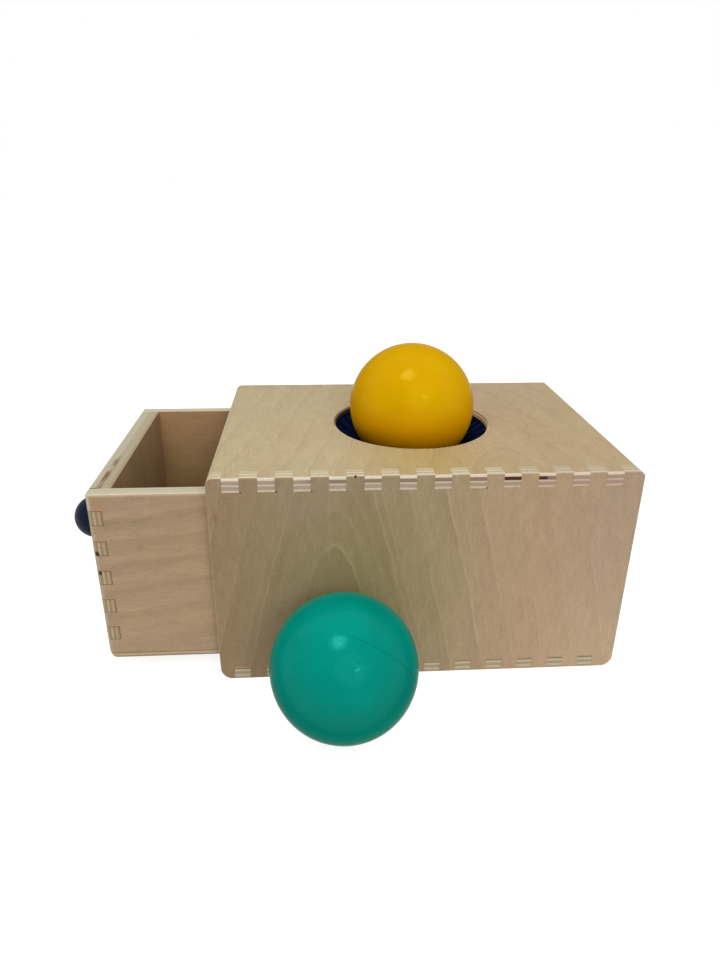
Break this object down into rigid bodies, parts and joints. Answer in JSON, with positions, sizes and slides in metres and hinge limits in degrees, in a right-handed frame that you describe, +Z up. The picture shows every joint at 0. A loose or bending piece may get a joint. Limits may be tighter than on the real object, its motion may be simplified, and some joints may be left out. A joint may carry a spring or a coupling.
{
  "type": "object permanence box",
  "caption": "Plywood box with a pleated cloth insert in a round hole, a drawer that slides out of one end, and toddler-sized balls.",
  "frame": {"origin": "centre of the underside of the case", "axes": "+Z up; the drawer slides along X and comes out towards -X; the front of the case, with the teal ball before it, faces -Y"},
  "size_m": [0.2594, 0.1957, 0.1382],
  "materials": {
    "plywood": "fine-sanded birch plywood with a thin matt lacquer",
    "navy_cloth": "smooth stretch cloth",
    "elastic": "braided elastic cord",
    "navy_paint": "satin paint on wood",
    "steel": "zinc-plated screw",
    "yellow_plastic": "satin moulded plastic",
    "teal_plastic": "satin moulded plastic with a faint seam"
  },
  "bodies": {
    "case": {"top_panel": "plywood", "bottom_panel": "plywood", "front_panel": "plywood", "back_panel": "plywood", "end_panel": "plywood", "cloth_insert": "navy_cloth", "cloth_ring": "plywood", "ring_screws": "steel"},
    "drawer": {"drawer_front": "plywood", "drawer_lining": "plywood", "drawer_near_side": "plywood", "drawer_far_side": "plywood", "drawer_inner_end": "plywood", "drawer_floor": "plywood", "drawer_knob": "navy_paint", "knob_screw": "steel"},
    "hem": {"elastic_band": "elastic"},
    "yellow_ball": {"yellow_ball": "yellow_plastic"},
    "teal_ball": {"teal_ball": "teal_plastic"}
  },
  "joints": [
    {"name": "drawer_slide", "type": "slide", "parent": "case", "child": "drawer", "axis": [1, 0, 0], "range_m": [-0.085, 0.0514]},
    {"name": "cloth_press", "type": "slide", "parent": "case", "child": "hem", "axis": [0, 0, -1], "range_m": [0, 0.008], "stiffness_N_per_m": 400, "springref_m": -0.005, "deforming": ["cloth_insert"]},
    {"name": "ball_lift", "type": "slide", "parent": "hem", "child": "yellow_ball", "axis": [0, 0, 1], "range_m": [0, 0.07]},
    {"name": "teal_ball_lift", "type": "slide", "parent": "case", "child": "teal_ball", "axis": [0, 0, 1], "range_m": [0, 0.1]}
  ]
}
